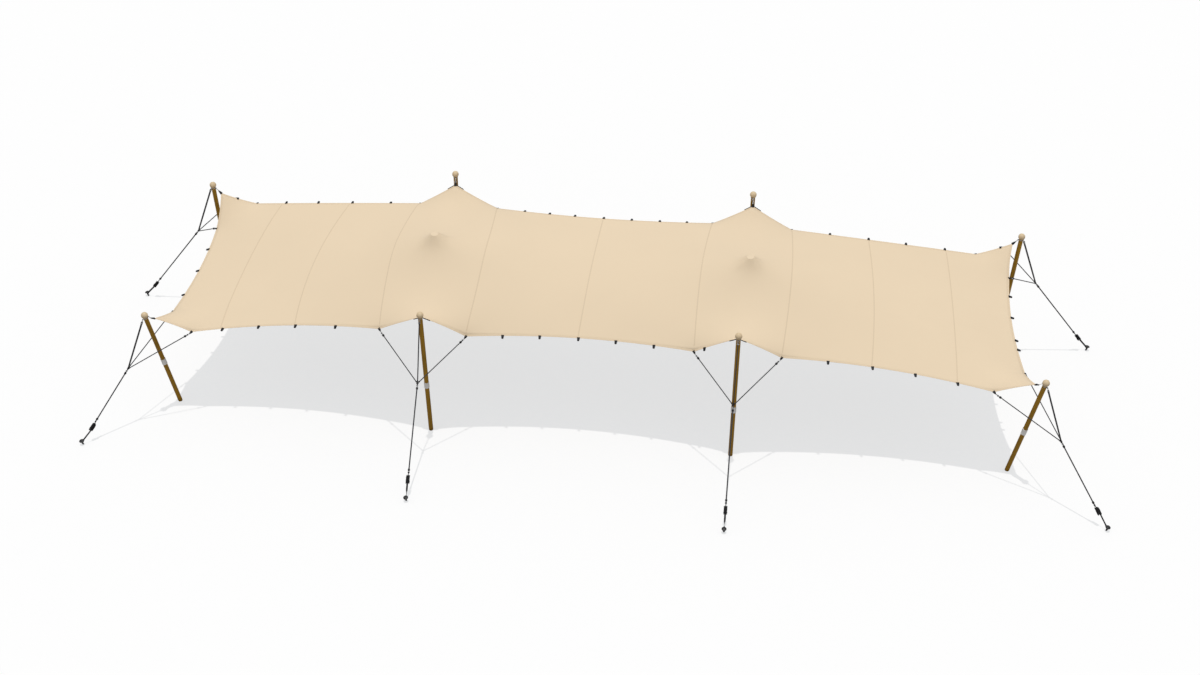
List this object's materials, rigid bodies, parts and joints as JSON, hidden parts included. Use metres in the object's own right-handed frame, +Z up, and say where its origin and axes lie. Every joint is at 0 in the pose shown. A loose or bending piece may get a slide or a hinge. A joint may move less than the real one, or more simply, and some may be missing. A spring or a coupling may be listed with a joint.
{
  "type": "stretch tent",
  "caption": "Open-sided stretch tent: a long sewn cream canopy with two small peaks, drawn taut between leaning timber poles with guy lines, ratchets and ground stakes.",
  "frame": {"origin": "on the ground under the middle of the tent", "axes": "+X along the tent's length, +Y towards its back, +Z up"},
  "size_m": [18.0151, 7.4484, 3.0789],
  "materials": {
    "canopy_fabric": "coated stretch knit, matt",
    "pole_timber": "oiled brown timber",
    "turned_wood": "pale turned wood, sealed",
    "sleeve_white": "off-white powder coat",
    "rope": "black braided polyester",
    "black_steel": "black powder coated steel"
  },
  "bodies": {
    "root": {"canopy": "canopy_fabric", "pole_front_left": "pole_timber", "ball_cap_front_left": "turned_wood", "sleeve_front_left": "sleeve_white", "guy_set_front_left": "rope", "ground_stake_front_left": "black_steel", "pole_front_right": "pole_timber", "ball_cap_front_right": "turned_wood", "sleeve_front_right": "sleeve_white", "guy_set_front_right": "rope", "ground_stake_front_right": "black_steel", "pole_back_left": "pole_timber", "ball_cap_back_left": "turned_wood", "sleeve_back_left": "sleeve_white", "guy_set_back_left": "rope", "ground_stake_back_left": "black_steel", "pole_back_right": "pole_timber", "ball_cap_back_right": "turned_wood", "sleeve_back_right": "sleeve_white", "guy_set_back_right": "rope", "ground_stake_back_right": "black_steel", "pole_front_mid_left": "pole_timber", "ball_cap_front_mid_left": "turned_wood", "sleeve_front_mid_left": "sleeve_white", "guy_set_front_mid_left": "rope", "ground_stake_front_mid_left": "black_steel", "pole_front_mid_right": "pole_timber", "ball_cap_front_mid_right": "turned_wood", "sleeve_front_mid_right": "sleeve_white", "guy_set_front_mid_right": "rope", "ground_stake_front_mid_right": "black_steel", "pole_back_mid_left": "pole_timber", "ball_cap_back_mid_left": "turned_wood", "sleeve_back_mid_left": "sleeve_white", "guy_set_back_mid_left": "rope", "ground_stake_back_mid_left": "black_steel", "pole_back_mid_right": "pole_timber", "ball_cap_back_mid_right": "turned_wood", "sleeve_back_mid_right": "sleeve_white", "guy_set_back_mid_right": "rope", "ground_stake_back_mid_right": "black_steel", "peak_stiffener_left": "canopy_fabric", "peak_stiffener_right": "canopy_fabric"}
  },
  "joints": []
}
